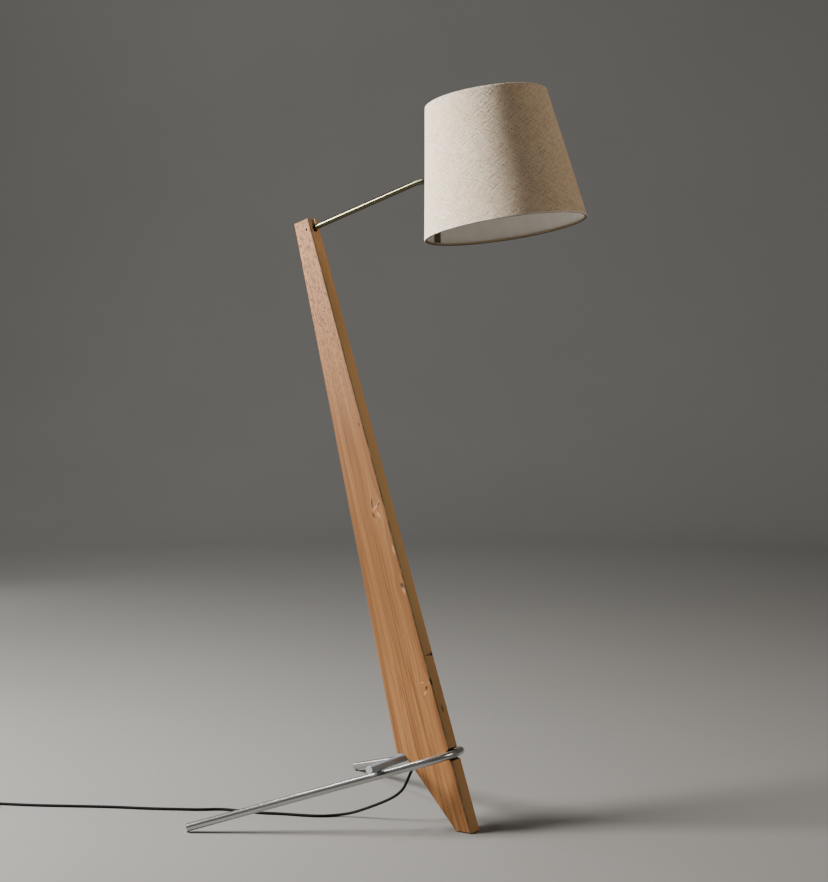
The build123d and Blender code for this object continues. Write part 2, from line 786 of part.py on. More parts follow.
# ---- Switch in the lampholder: body and the turn knob on its shaft ----

with BuildPart() as switch_body:
    with BuildSketch(shade_plane.offset(plate_top + 3.6)):
        with Locations((0, -2)):
            Rectangle(15.0, 19.0)
    extrude(amount=insert_bottom - plate_top - 3.6)
    with BuildSketch(knob_plane):
        Circle(2.0 + running_gap)
    extrude(amount=20, mode=Mode.SUBTRACT)
finish("switch_body", switch_body.part)

with BuildPart() as switch_knob:
    with BuildSketch(knob_plane.offset(2.0)):
        Circle(2.0)
    extrude(amount=knob_start)
    with BuildSketch(knob_plane.offset(knob_start)):
        Circle(5.5)
    extrude(amount=12.0)
    chamfer(switch_knob.faces().sort_by(Axis.Y)[0].edges(), length=1.0)
    with BuildSketch(knob_plane.offset(knob_start)):
        with PolarLocations(5.9, 12):
            Circle(0.8)
    extrude(amount=12.0, mode=Mode.SUBTRACT)
finish("switch_knob", switch_knob.part)

# ---- Cable inside the shade, from the arm's end to the lampholder ----

head_cable_points = [
    Vector(-hinge_inner, hinge_rise) for hinge_inner, hinge_rise in
    ((wall_radius(hinge_height) - 29.5, hinge_height + 5.0),
     (wall_radius(hinge_height) - 46.0, hinge_height + 2.0),
     (wall_radius(hinge_height) - 66.0, knob_height - 1.5),
     (holder_radius - 4.0, knob_height - 0.5))
]

with BuildPart() as head_cable:
    with BuildLine() as head_run:
        FilletPolyline(
            *[shade_side.from_local_coords(Vector(p.X, p.Y, 0)) for p in head_cable_points],
            radius=[12.0, 18.0],
        )
    with BuildSketch(Plane(origin=head_run.line @ 0, z_dir=head_run.line % 0)):
        Circle(arm_cable_radius)
    sweep(path=head_run.line)
finish("head_cable", head_cable.part)

# ---- Bulb ----

finish("bulb_cap", ring_section([
    (0, bulb_foot),
    (5.0, bulb_foot),
    (7.5, bulb_foot + 3.5),
    (bulb_cap_radius - 0.6, bulb_foot + 5.0),
    (bulb_cap_radius - 0.6, bulb_neck - 4),
    (bulb_cap_radius, bulb_neck - 3),
    (bulb_cap_radius, bulb_neck),
    (0, bulb_neck),
]))

bulb_shoulder = radians(-35)
glass_neck_radius = bulb_cap_radius - 0.2

with BuildPart() as bulb_glass:
    with BuildSketch(shade_side):
        with BuildLine() as glass_outline:
            shoulder_heading = (sin(bulb_shoulder), -cos(bulb_shoulder))
            outer_shoulder = (
                bulb_radius * cos(bulb_shoulder),
                bulb_middle + bulb_radius * sin(bulb_shoulder),
            )
            inner_shoulder = (
                (bulb_radius - glass_wall) * cos(bulb_shoulder),
                bulb_middle + (bulb_radius - glass_wall) * sin(bulb_shoulder),
            )
            outer_neck = (glass_neck_radius, bulb_neck)
            inner_neck = (glass_neck_radius - glass_wall, bulb_neck)
            TangentArc(outer_shoulder, outer_neck, tangent=shoulder_heading)
            CenterArc((0, bulb_middle), bulb_radius, -35, 125)
            Line((0, bulb_middle + bulb_radius), (0, bulb_middle + bulb_radius - glass_wall))
            CenterArc((0, bulb_middle), bulb_radius - glass_wall, -35, 125)
            TangentArc(inner_shoulder, inner_neck, tangent=shoulder_heading)
            Line(inner_neck, outer_neck)
        make_face()
    revolve(axis=shade_axis)
finish("bulb_glass", bulb_glass.part)

# ---- Gland and strain relief where the cord leaves the post ----

with BuildPart() as cord_gland:
    with BuildSketch(facing(gland_inner, cord_heading)):
        Circle(5.0)
    extrude(amount=gland_spigot)
    with BuildSketch(facing(spot_middle, cord_heading)):
        Circle(flange_radius)
    extrude(amount=flange_thickness)
finish("cord_gland", cord_gland.part)

with BuildPart() as strain_relief:
    with BuildSketch(facing(relief_base, cord_heading)):
        Circle(5.6)
    with BuildSketch(facing(relief_tip, cord_heading)):
        Circle(3.9)
    loft()
finish("strain_relief", strain_relief.part)

# ---- Cord: down from the post, across the floor, into a coil, and out to its plug ----

floor_cord = cord_radius + 0.05
cord_points = [
    relief_tip,
    relief_tip + cord_heading * 13.0,
    behind_toe(181.0, 90.5, -3.0),
    behind_toe(186.5, 74.0, -9.0),
    behind_toe(203.5, 57.0, -18.0),
    behind_toe(232.7, 41.4, -27.1),
    behind_toe(269.4, 25.1, -33.6),
    behind_toe(307.3, 9.7, -38.8),
    behind_toe(340.8, floor_cord, -54.7),
    behind_toe(368.9, floor_cord, -80.8),
    behind_toe(413.0, floor_cord, -97.8),
    behind_toe(459.2, floor_cord, -110.9),
    behind_toe(505.3, floor_cord, -131.9),
    behind_toe(558.4, floor_cord, -140.9),
    behind_toe(604.6, floor_cord, -151.0),
    behind_toe(639.7, floor_cord, -181.1),
    behind_toe(683.8, floor_cord, -203.1),
    behind_toe(754.0, floor_cord, -239.2),
    behind_toe(828.2, floor_cord, -268.3),
    behind_toe(914.4, floor_cord, -312.4),
    behind_toe(996.6, floor_cord, -355.5),
    behind_toe(1062.8, floor_cord, -382.6),
    behind_toe(1115.9, floor_cord, -403.7),
]


def bend_radii(points):
    """Largest radius that fits each corner, leaving a tenth of the shorter run straight."""
    radii = []
    for before, corner, after in zip(points, points[1:], points[2:]):
        run_in, run_out = corner - before, after - corner
        half_turn = radians(run_in.get_angle(run_out)) / 2
        radii.append(0.45 * min(run_in.length, run_out.length) / tan(half_turn))
    return radii


def cord_tube(name, points):
    """A tube of the cord along a route of straight runs joined by tangent arcs."""
    radii = bend_radii(points)
    print(name, "bend radii", [round(r) for r in radii])
    with BuildPart() as tube:
        with BuildLine() as route:
            FilletPolyline(*points, radius=radii)
        with BuildSketch(Plane(origin=route.line @ 0, z_dir=route.line % 0)):
            Circle(cord_radius)
        sweep(path=route.line)
    length = route.wire().length
    expected = pi * cord_radius ** 2 * length
    print(name, "length", round(length, 1), "volume over section x length",
          round(tube.part.volume / expected, 4))
    return tube.part


finish("cord", cord_tube("cord", cord_points))

# The coil: the cord comes in along its heading and turns anticlockwise, seen from above.
last_run = (cord_points[-1] - cord_points[-2]).normalized()
left_of_run = Vector(-last_run.Y, last_run.X, 0)
coil_middle = cord_points[-1] + left_of_run * coil_turn_radius
coil_floor = Vector(coil_middle.X, coil_middle.Y, 0)

with BuildPart() as cord_coil:
    with BuildSketch(Plane(origin=coil_floor, x_dir=(1, 0, 0), z_dir=(0, -1, 0))):
        with Locations((coil_mean_radius, 2 * cord_radius + 0.1)):
            RectangleRounded(6 * cord_radius + 0.4, 4 * cord_radius + 0.2, 2.4)
    revolve(axis=Axis(coil_floor, (0, 0, 1)))
finish("cord_coil", cord_coil.part)

# Tail: leaves the coil's top turn along its tangent and comes down to the plug.
tail_angle = radians(136)
tail_out = Vector(cos(tail_angle), sin(tail_angle), 0)
tail_heading = Vector(-sin(tail_angle), cos(tail_angle), 0)
top_turn = 3 * cord_radius + 0.1
tail_start = coil_floor + tail_out * coil_tail_radius + Vector(0, 0, top_turn)
plug_middle_height = plug_size[2] / 2
tail_points = [
    tail_start + tail_heading * 24.0,
    tail_start + tail_heading * 34.0 + tail_out * 0.4,
    tail_start + tail_heading * 46.0 + Vector(0, 0, plug_middle_height - top_turn) + tail_out * 1.2,
    tail_start + tail_heading * 56.0 + Vector(0, 0, plug_middle_height - top_turn) + tail_out * 1.2,
]
finish("cord_tail", cord_tube("cord_tail", tail_points))

plug_plane = Plane(origin=tail_points[-1], x_dir=tail_out, z_dir=tail_heading)

with BuildPart() as plug_body:
    with BuildSketch(plug_plane):
        RectangleRounded(12.0, 10.0, 3.0)
    with BuildSketch(plug_plane.offset(10.0)):
        RectangleRounded(plug_size[1], plug_size[2] - 0.2, 4.0)
    loft()
    with BuildSketch(plug_plane.offset(10.0)):
        RectangleRounded(plug_size[1], plug_size[2] - 0.2, 4.0)
    extrude(amount=plug_size[0] - 10.0)
finish("plug_body", plug_body.part)

with BuildPart() as plug_blades:
    with BuildSketch(plug_plane.offset(plug_size[0])):
        with Locations((-6.35, 0), (6.35, 0)):
            Rectangle(1.5, 6.35)
    extrude(amount=17.0)
finish("plug_blades", plug_blades.part)

print("arm pivot", arm_pivot, "shade pivot", shade_pivot)
print("coil middle", coil_middle, "tail start", tail_start, "tail heading", tail_heading)
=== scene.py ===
"""Adjustable arm floor lamp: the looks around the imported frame. Lengths are in metres."""
import json
import math
from math import cos, pi, radians, sin

import bmesh
import bpy
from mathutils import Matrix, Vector


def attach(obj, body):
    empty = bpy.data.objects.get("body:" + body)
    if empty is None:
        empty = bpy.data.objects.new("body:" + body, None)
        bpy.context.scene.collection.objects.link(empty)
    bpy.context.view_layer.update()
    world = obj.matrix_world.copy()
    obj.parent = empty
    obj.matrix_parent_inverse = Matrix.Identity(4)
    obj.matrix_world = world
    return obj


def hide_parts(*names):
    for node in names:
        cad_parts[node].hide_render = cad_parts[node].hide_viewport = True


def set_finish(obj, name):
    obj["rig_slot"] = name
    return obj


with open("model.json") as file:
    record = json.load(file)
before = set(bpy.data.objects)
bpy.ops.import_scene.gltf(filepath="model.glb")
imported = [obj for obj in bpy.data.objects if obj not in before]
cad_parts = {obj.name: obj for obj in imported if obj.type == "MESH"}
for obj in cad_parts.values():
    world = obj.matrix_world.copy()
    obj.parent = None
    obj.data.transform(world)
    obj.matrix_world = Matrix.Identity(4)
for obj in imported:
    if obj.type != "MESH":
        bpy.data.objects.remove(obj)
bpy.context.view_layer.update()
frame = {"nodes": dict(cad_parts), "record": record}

# ---- Camera ----

camera = bpy.data.objects.new("camera", bpy.data.cameras.new("camera"))
bpy.context.scene.collection.objects.link(camera)
camera.location = (2.17144, -3.48985, 1.11336)
camera.rotation_euler = (radians(90), 0, radians(31.70))
camera.data.lens = 73.374
camera.data.sensor_width = 36.0
camera.data.shift_x = -0.01247
camera.data.shift_y = -0.1190
camera.data.clip_start = 0.05
camera.data.clip_end = 100
bpy.context.scene.camera = camera

# ---- Places, as in the CAD ----

TOE_X = 0.1495
LEAN = radians(17.83)
REAR_LEAN = radians(13.3)
REAR_TOP = (-0.337638, 1.37932)
HALF_POST = 0.019
CORD_RADIUS = 0.00325
CORD_HEADING = Vector((-sin(radians(25)), 0, -cos(radians(25))))
RELIEF_BASE = Vector((-0.0105918, 0, 0.137797))
RELIEF_TIP = Vector((-0.0198894, 0, 0.117858))

SHADE_TILT = radians(9.8)
SHADE_ORIGIN = Vector((0.2267, 0, 1.3503))
SHADE_UP = Vector((-sin(SHADE_TILT), 0, cos(SHADE_TILT)))
SHADE_OUT = Vector((cos(SHADE_TILT), 0, sin(SHADE_TILT)))
SHADE_LENGTH = 0.297
SHADE_LOW_RADIUS = 0.1827
SHADE_TOP_RADIUS = 0.1378


def behind_toe(distance, height, side):
    """A point given in millimetres: behind the toe's front edge, its height and its side."""
    return Vector((TOE_X - distance / 1000, side / 1000, height / 1000))


# ---- Cord: its route, then the coil and the tail to the plug ----

STRAIGHT_OUT = 0.013     # the cord leaves the strain relief straight for this far
route = [
    RELIEF_TIP,
    RELIEF_TIP + CORD_HEADING * STRAIGHT_OUT,
    behind_toe(181.0, 90.5, -3.0),
    behind_toe(186.5, 74.0, -9.0),
    behind_toe(203.5, 57.0, -18.0),
    behind_toe(232.7, 41.4, -27.1),
    behind_toe(269.4, 25.1, -33.6),
    behind_toe(307.3, 9.7, -38.8),
    behind_toe(340.8, 3.3, -54.7),
    behind_toe(368.9, 3.3, -80.8),
    behind_toe(413.0, 3.3, -97.8),
    behind_toe(459.2, 3.3, -110.9),
    behind_toe(505.3, 3.3, -131.9),
    behind_toe(558.4, 3.3, -140.9),
    behind_toe(604.6, 3.3, -151.0),
    behind_toe(639.7, 3.3, -181.1),
    behind_toe(683.8, 3.3, -203.1),
    behind_toe(754.0, 3.3, -239.2),
    behind_toe(828.2, 3.3, -268.3),
    behind_toe(914.4, 3.3, -312.4),
    behind_toe(996.6, 3.3, -355.5),
    behind_toe(1062.8, 3.3, -382.6),
    behind_toe(1115.9, 3.3, -403.7),
]

# The coil in turns from where the cord comes in: radius and height at each place, in millimetres.
COIL_MIDDLE = Vector((-0.950706, -0.443196, 0))
COIL_START = 111.7
COIL_RADII = [
    (0.0, 42.5), (0.83, 42.5), (1.0, 36.0), (1.83, 36.0), (2.0, 29.5), (2.62, 29.5),
    (2.83, 32.75), (3.83, 32.75), (4.0, 39.25), (4.83, 39.25), (5.0, 45.75), (5.1, 45.75),
]
COIL_HEIGHTS = [(0.0, 3.3), (2.5, 3.3), (2.75, 9.85), (5.1, 9.85)]
POINTS_PER_TURN = 24
COIL_TURNS = 5.068


def eased(table, at):
    """A value from a table of (place, value), eased in and out between its entries."""
    for (x0, y0), (x1, y1) in zip(table, table[1:]):
        if at <= x1:
            t = (at - x0) / (x1 - x0)
            return y0 + (y1 - y0) * t * t * (3 - 2 * t)
    return table[-1][1]


rounding = 1 / cos(pi / POINTS_PER_TURN)
for k in range(1, int(COIL_TURNS * POINTS_PER_TURN) + 1):
    turn = k / POINTS_PER_TURN
    angle = radians(COIL_START + 360 * turn)
    radius = eased(COIL_RADII, turn) * rounding / 1000
    height = eased(COIL_HEIGHTS, turn) / 1000
    route.append(COIL_MIDDLE + Vector((cos(angle) * radius, sin(angle) * radius, height)))

TAIL_ANGLE = radians(136)
TAIL_OUT = Vector((cos(TAIL_ANGLE), sin(TAIL_ANGLE), 0))
TAIL_HEADING = Vector((-sin(TAIL_ANGLE), cos(TAIL_ANGLE), 0))
TAIL_RADIUS = 0.03925
tail_start = COIL_MIDDLE + TAIL_OUT * TAIL_RADIUS
PLUG_BASE = tail_start + TAIL_HEADING * 0.056 + TAIL_OUT * 0.0012 + Vector((0, 0, 0.007))
# The tail in millimetres: ahead from where the coil is left, outward, and its height.
for ahead, outward, height in (
    (12, 6.0, 9.85), (24, 4.6, 9.6), (34, 3.0, 8.6), (46, 1.6, 7.2), (56, 1.2, 7.0),
):
    route.append(
        tail_start + TAIL_HEADING * ahead / 1000 + TAIL_OUT * outward / 1000
        + Vector((0, 0, height / 1000))
    )

cord_curve = bpy.data.curves.new("mains_cord", "CURVE")
cord_curve.dimensions = "3D"
cord_curve.bevel_depth = 1.0
cord_curve.bevel_resolution = 6
cord_curve.resolution_u = 8
cord_curve.use_fill_caps = True
spline = cord_curve.splines.new("NURBS")
spline.points.add(len(route) - 1)
for point, place in zip(spline.points, route):
    point.co = (*place, 1.0)
    point.radius = CORD_RADIUS
spline.order_u = 3
spline.use_endpoint_u = True
mains_cord = bpy.data.objects.new("mains_cord", cord_curve)
bpy.context.scene.collection.objects.link(mains_cord)
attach(mains_cord, "stand")
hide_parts("cord", "cord_coil", "cord_tail")
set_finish(mains_cord, "cable_black")

# ---- Mesh helpers ----


def new_piece(name, mesh, body, slot, *nodes):
    """Link a mesh as a piece on a body, standing for CAD nodes."""
    piece = bpy.data.objects.new(name, mesh)
    bpy.context.scene.collection.objects.link(piece)
    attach(piece, body)
    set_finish(piece, slot)
    if nodes:
        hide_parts(*nodes)
    return piece


def lofted(name, rings):
    """A mesh through rings of points, each ring closed, with flat caps."""
    mesh = bpy.data.meshes.new(name)
    bm = bmesh.new()
    rows = [[bm.verts.new(p) for p in ring] for ring in rings]
    for low, high in zip(rows, rows[1:]):
        for i in range(len(low)):
            j = (i + 1) % len(low)
            bm.faces.new((low[i], low[j], high[j], high[i]))
    bm.faces.new(list(reversed(rows[0])))
    bm.faces.new(rows[-1])
    bmesh.ops.recalc_face_normals(bm, faces=bm.faces)
    for face in bm.faces:
        face.smooth = len(face.verts) == 4
    bm.to_mesh(mesh)
    bm.free()
    return mesh


def turned(origin, axis, across, outline, steps=48):
    """Rings about an axis from an outline of (radius, height)."""
    other = axis.cross(across)
    rings = []
    for radius, height in outline:
        rings.append([
            origin + axis * height
            + (across * cos(2 * pi * i / steps) + other * sin(2 * pi * i / steps)) * radius
            for i in range(steps)
        ])
    return rings


# ---- Strain relief: a tapered boot with grooves round it ----

RELIEF_LENGTH = 0.022
RELIEF_RADIUS = 0.0056
RELIEF_NARROWS = 0.0017
GROOVES = 5
FIRST_GROOVE = 0.0032
GROOVE_PITCH = 0.0034
relief_outline = [(RELIEF_RADIUS, 0.0), (RELIEF_RADIUS, 0.0028)]
for k in range(GROOVES):
    at = FIRST_GROOVE + GROOVE_PITCH * k
    full = RELIEF_RADIUS - RELIEF_NARROWS * at / RELIEF_LENGTH
    relief_outline += [
        (full, at), (full - 0.0002, at + 0.0003), (full - 0.0010, at + 0.0005),
        (full - 0.0010, at + 0.0013), (full - 0.0003, at + 0.0015), (full - 0.0001, at + 0.0018),
    ]
relief_outline += [(0.0041, 0.0205), (0.0039, 0.0216), (0.0036, 0.0220)]
strain_boot = new_piece(
    "strain_boot",
    lofted("strain_boot", turned(RELIEF_BASE, CORD_HEADING, Vector((0, 1, 0)), relief_outline)),
    "stand", "black_rubber", "strain_relief",
)

# ---- Plug: a moulded body with a tapered tail and finger grips ----


def plug_ring(ahead, width, height, power, steps=64):
    """One rounded-rectangle section of the plug, square to its length."""
    ring = []
    for i in range(steps):
        a = 2 * pi * i / steps
        x = abs(cos(a)) ** (2 / power) * math.copysign(width / 2, cos(a))
        z = abs(sin(a)) ** (2 / power) * math.copysign(height / 2, sin(a))
        ring.append(PLUG_BASE + TAIL_HEADING * ahead + TAIL_OUT * x + Vector((0, 0, z)))
    return ring


# Each section: ahead of the plug's base, width, height, and the power of its rounding.
GRIPS = 4
FIRST_GRIP = 0.0125
GRIP_PITCH = 0.0034
plug_sections = [
    (-0.0200, 0.0070, 0.0070, 2.0), (-0.0190, 0.0078, 0.0078, 2.0), (-0.0040, 0.0092, 0.0090, 2.0),
    (-0.0034, 0.0080, 0.0078, 2.0), (-0.0022, 0.0080, 0.0078, 2.0), (-0.0016, 0.0096, 0.0094, 2.0),
    (0.0010, 0.0108, 0.0098, 2.2), (0.0050, 0.0150, 0.0112, 2.6), (0.0085, 0.0205, 0.0128, 3.2),
    (0.0110, 0.0230, 0.0136, 4.0),
]
for k in range(GRIPS):
    start = FIRST_GRIP + GRIP_PITCH * k
    plug_sections += [
        (start, 0.0238, 0.0138, 4.6), (start + 0.0006, 0.0226, 0.0132, 4.6),
        (start + 0.0016, 0.0226, 0.0132, 4.6), (start + 0.0022, 0.0238, 0.0138, 4.6),
    ]
plug_sections += [
    (0.0275, 0.0240, 0.0139, 5.0), (0.0308, 0.0240, 0.0139, 5.0), (0.0317, 0.0234, 0.0134, 5.0),
    (0.0320, 0.0222, 0.0122, 5.0),
]
mains_plug = new_piece(
    "mains_plug",
    lofted("mains_plug", [plug_ring(*section) for section in plug_sections]),
    "stand", "black_plastic", "plug_body",
)

# ---- Shade: the linen round the frame, rolled over both wires, lapped at the back ----


def wall_radius(height):
    """Outer radius of the shade at a height up its axis."""
    return SHADE_LOW_RADIUS + (SHADE_TOP_RADIUS - SHADE_LOW_RADIUS) * height / SHADE_LENGTH


# The roll's section from inside to the wall: (in from the wall's face, up from the rim), in mm.
ROLL = [
    (1.9, 5.1), (2.9, 4.95), (4.0, 4.6), (4.9, 3.9), (5.35, 2.9), (5.3, 1.8), (4.8, 0.8),
    (3.9, 0.05), (2.8, -0.25), (1.7, -0.15), (0.95, 0.35), (0.5, 1.2), (0.4, 2.4),
]
WALL_ROWS = 72
WALL_INSET = 0.0004          # the cloth's middle, in from the CAD wall's face
WALL_MARGIN = 0.004          # between each rim and the first row of the wall
LAP = 0.011
LAP_RAMP = 0.02              # radians over which the upper layer climbs on the lower
LAP_RISE = 0.0006
SEAM_ANGLE = radians(196)
AROUND = 288
CLOTH_THICKNESS = 0.0007
# The next two settings place the painted shade on the turned-in cloth and on the underside of the
# lower roll.
ROLL_SHADE_START = 0.002     # inset at which the cloth counts as fully turned in
UNDER_UP, UNDER_INSET = 0.0009, 0.0012   # the underside of the lower roll

profile = [(inset / 1000, up / 1000, 0) for inset, up in ROLL]
for row in range(WALL_ROWS + 1):
    up = WALL_MARGIN + (SHADE_LENGTH - 2 * WALL_MARGIN) * row / WALL_ROWS
    profile.append((WALL_INSET, up, 1))
profile += [(inset / 1000, SHADE_LENGTH - up / 1000, 2) for inset, up in reversed(ROLL)]



def waver(angle, height):
    """How far the stretched cloth strays from a true cone."""
    return 0.00022 * sin(3 * angle + 9 * height) + 0.00016 * sin(7 * angle - 21 * height + 1)


linen_mesh = bpy.data.meshes.new("shade_linen")
bm = bmesh.new()
# What the linen's material reads: round the shade, along the thread, and how far turned in, which
# also places the painted shade on the rolls.
thread = bm.verts.layers.float_vector.new("thread")
lap_angle = LAP / SHADE_LOW_RADIUS
grid = []
for column in range(AROUND + 1):
    turn_angle = (2 * pi + lap_angle) * column / AROUND
    angle = SEAM_ANGLE + turn_angle
    climb = (turn_angle - 2 * pi + LAP_RAMP) / LAP_RAMP
    lifted = max(0.0, min(1.0, climb)) * LAP_RISE
    line = []
    along = 0.0
    before = None
    for inset, up, part in profile:
        height = max(0.0, min(SHADE_LENGTH, up))
        radius = wall_radius(height) - inset + lifted + waver(angle, height)
        vert = bm.verts.new(
            SHADE_ORIGIN + SHADE_UP * up
            + (SHADE_OUT * cos(angle) + Vector((0, 1, 0)) * sin(angle)) * radius
        )
        here = Vector((radius, up))
        along += 0.0 if before is None else (here - before).length
        before = here
        roll_shade_mask = min(1, inset / ROLL_SHADE_START)
        # The underside of the lower roll is marked for a darker painted shade.
        if part == 0 and up < UNDER_UP and inset > UNDER_INSET:
            roll_shade_mask += 1
        vert[thread] = (turn_angle * wall_radius(0.5 * SHADE_LENGTH), along, roll_shade_mask)
        line.append(vert)
    grid.append(line)
for left, right in zip(grid, grid[1:]):
    for i in range(len(left) - 1):
        face = bm.faces.new((left[i], right[i], right[i + 1], left[i + 1]))
        face.smooth = True
bmesh.ops.recalc_face_normals(bm, faces=bm.faces)
bm.to_mesh(linen_mesh)
bm.free()
shade_linen = bpy.data.objects.new("shade_linen", linen_mesh)
bpy.context.scene.collection.objects.link(shade_linen)
thickness = shade_linen.modifiers.new("thickness", "SOLIDIFY")
thickness.thickness = CLOTH_THICKNESS
thickness.offset = 0.0

# The arm's slot, cut through the cloth: a rounded upright prism across the wall.
SLOT_MIDDLE = Vector((0.0451938, 0, 1.46464))
SLOT_UP = Vector((-0.020998, 0, 0.99978))
SLOT_IN = Vector((0.99978, 0, 0.020998))
SLOT_END_RADIUS = 0.0073
SLOT_HALF_STRAIGHT = 0.0107
slot_rings = []
for depth in (-0.03, 0.03):
    ring = []
    for i in range(48):
        a = 2 * pi * i / 48
        rise = math.copysign(SLOT_HALF_STRAIGHT, sin(a)) + SLOT_END_RADIUS * sin(a)
        ring.append(
            SLOT_MIDDLE + SLOT_IN * depth + Vector((0, SLOT_END_RADIUS * cos(a), 0))
            + SLOT_UP * rise
        )
    slot_rings.append(ring)
cutter = bpy.data.objects.new("cutter", lofted("cutter", slot_rings))
bpy.context.scene.collection.objects.link(cutter)
cut = shade_linen.modifiers.new("cut", "BOOLEAN")
cut.operation = "DIFFERENCE"
cut.solver = "EXACT"
cut.object = cutter
bpy.context.view_layer.update()
finished = bpy.data.meshes.new_from_object(
    shade_linen.evaluated_get(bpy.context.evaluated_depsgraph_get())
)
shade_linen.modifiers.clear()
shade_linen.data = finished
bpy.data.objects.remove(cutter)
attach(shade_linen, "head")
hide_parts("shade_fabric")
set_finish(shade_linen, "linen")

# ---- Materials ----


class Number:
    """A shader value with arithmetic, so that a pattern reads as a formula."""

    def __init__(self, tree, socket):
        self.tree, self.socket = tree, socket

    def math(self, operation, *others):
        """One math node on this value and the others."""
        node = self.tree.nodes.new("ShaderNodeMath")
        node.operation = operation
        for slot, value in zip(node.inputs, (self, *others)):
            if isinstance(value, Number):
                self.tree.links.new(value.socket, slot)
            else:
                slot.default_value = value
        return Number(self.tree, node.outputs[0])

    def __add__(self, other):
        return self.math("ADD", other)

    def __sub__(self, other):
        return self.math("SUBTRACT", other)

    def __mul__(self, other):
        return self.math("MULTIPLY", other)

    def __truediv__(self, other):
        return self.math("DIVIDE", other)

    def remap(self, low, high, to_low=0.0, to_high=1.0, smooth=True):
        """Clamped change of range, eased by default."""
        node = self.tree.nodes.new("ShaderNodeMapRange")
        node.interpolation_type = "SMOOTHSTEP" if smooth else "LINEAR"
        self.tree.links.new(self.socket, node.inputs["Value"])
        node.inputs["From Min"].default_value = low
        node.inputs["From Max"].default_value = high
        node.inputs["To Min"].default_value = to_low
        node.inputs["To Max"].default_value = to_high
        return Number(self.tree, node.outputs["Result"])


class Surface:
    """A new principled material and the nodes its patterns are made of."""

    def __init__(self, name, **settings):
        self.material = bpy.data.materials.new(name)
        self.material.use_nodes = True
        self.tree = self.material.node_tree
        self.shader = self.tree.nodes["Principled BSDF"]
        for key, value in settings.items():
            self.shader.inputs[key.replace("_", " ")].default_value = value
        place = self.tree.nodes.new("ShaderNodeTexCoord")
        self.place = place.outputs["Object"]

    def link(self, source, target):
        self.tree.links.new(getattr(source, "socket", source), target)

    def split(self, vector):
        """The three parts of a vector."""
        node = self.tree.nodes.new("ShaderNodeSeparateXYZ")
        self.link(vector, node.inputs[0])
        return [Number(self.tree, out) for out in node.outputs]

    def join(self, x, y, z):
        """A vector from three parts, each a shader value or a number."""
        node = self.tree.nodes.new("ShaderNodeCombineXYZ")
        for value, slot in zip((x, y, z), node.inputs):
            if isinstance(value, Number):
                self.link(value, slot)
            else:
                slot.default_value = value
        return node.outputs[0]

    def scaled(self, vector, scale):
        """A vector stretched by three factors."""
        node = self.tree.nodes.new("ShaderNodeVectorMath")
        node.operation = "MULTIPLY"
        self.link(vector, node.inputs[0])
        node.inputs[1].default_value = scale
        return node.outputs[0]

    def noise(self, vector, scale=1.0, detail=3.0, roughness=0.55):
        """Smooth noise about one half."""
        node = self.tree.nodes.new("ShaderNodeTexNoise")
        self.link(vector, node.inputs["Vector"])
        node.inputs["Scale"].default_value = scale
        node.inputs["Detail"].default_value = detail
        node.inputs["Roughness"].default_value = roughness
        return Number(self.tree, node.outputs["Fac"])

    def dots(self, vector, scale):
        """Distance to the nearest of the points scattered over a plane."""
        node = self.tree.nodes.new("ShaderNodeTexVoronoi")
        self.link(vector, node.inputs["Vector"])
        node.voronoi_dimensions = "2D"
        node.inputs["Scale"].default_value = scale
        return Number(self.tree, node.outputs["Distance"])

    def mix(self, share, low, high):
        """Colour between two colours, each a tuple or a socket."""
        node = self.tree.nodes.new("ShaderNodeMix")
        node.data_type = "RGBA"
        node.clamp_factor = True
        self.link(share, node.inputs["Factor"])
        colour_inputs = [s for s in node.inputs if s.type == "RGBA"]
        for value, slot in zip((low, high), colour_inputs):
            if isinstance(value, tuple):
                slot.default_value = (*value, 1.0)
            else:
                self.link(value, slot)
        return next(s for s in node.outputs if s.type == "RGBA")

    def colour(self, source):
        self.link(source, self.shader.inputs["Base Color"])

    def roughness(self, source):
        self.link(source, self.shader.inputs["Roughness"])

    def bump(self, height, strength=0.5, distance=0.001):
        node = self.tree.nodes.new("ShaderNodeBump")
        node.inputs["Strength"].default_value = strength
        node.inputs["Distance"].default_value = distance
        self.link(height, node.inputs["Height"])
        self.link(node.outputs["Normal"], self.shader.inputs["Normal"])


def darker(marks, more):
    """The stronger of two marks."""
    return more if marks is None else marks.math("MAXIMUM", more)


# Knots on the post's wide side, which push the grain aside: x, z, size.
KNOTS = [(0.0325, 0.3150, 0.0085), (-0.0326, 0.5420, 0.0085), (-0.1040, 0.7130, 0.0130)]

# What shows in and round the knots: x, z, half height, half width, lean in radians.
DARK_MARKS = [
    (0.0325, 0.3150, 0.0050, 0.0030, 0.3), (-0.0330, 0.5425, 0.0062, 0.0030, -0.65),
    (-0.1163, 0.7264, 0.0110, 0.0021, -0.15), (-0.1120, 0.6997, 0.0070, 0.0025, -0.5),
    (-0.0987, 0.7253, 0.0042, 0.0022, 0.6), (-0.1520, 0.9080, 0.0040, 0.0016, 0.0),
]
PALE_MARKS = [
    (-0.1048, 0.7200, 0.0150, 0.0024, 0.6), (-0.0975, 0.7010, 0.0100, 0.0030, -0.6),
    (-0.0285, 0.5310, 0.0085, 0.0034, -0.5), (-0.0564, 0.6230, 0.0110, 0.0034, -0.35),
    (0.0400, 0.3295, 0.0060, 0.0024, 0.5), (0.0284, 0.3030, 0.0058, 0.0030, 0.7),
    (0.0200, 0.3256, 0.0080, 0.0016, 1.35),
]
RUDDY_MARKS = [
    (-0.0350, 0.5590, 0.0120, 0.0062, -0.25), (0.0290, 0.3150, 0.0110, 0.0072, 0.0),
    (-0.1070, 0.7080, 0.0200, 0.0090, -0.2),
]

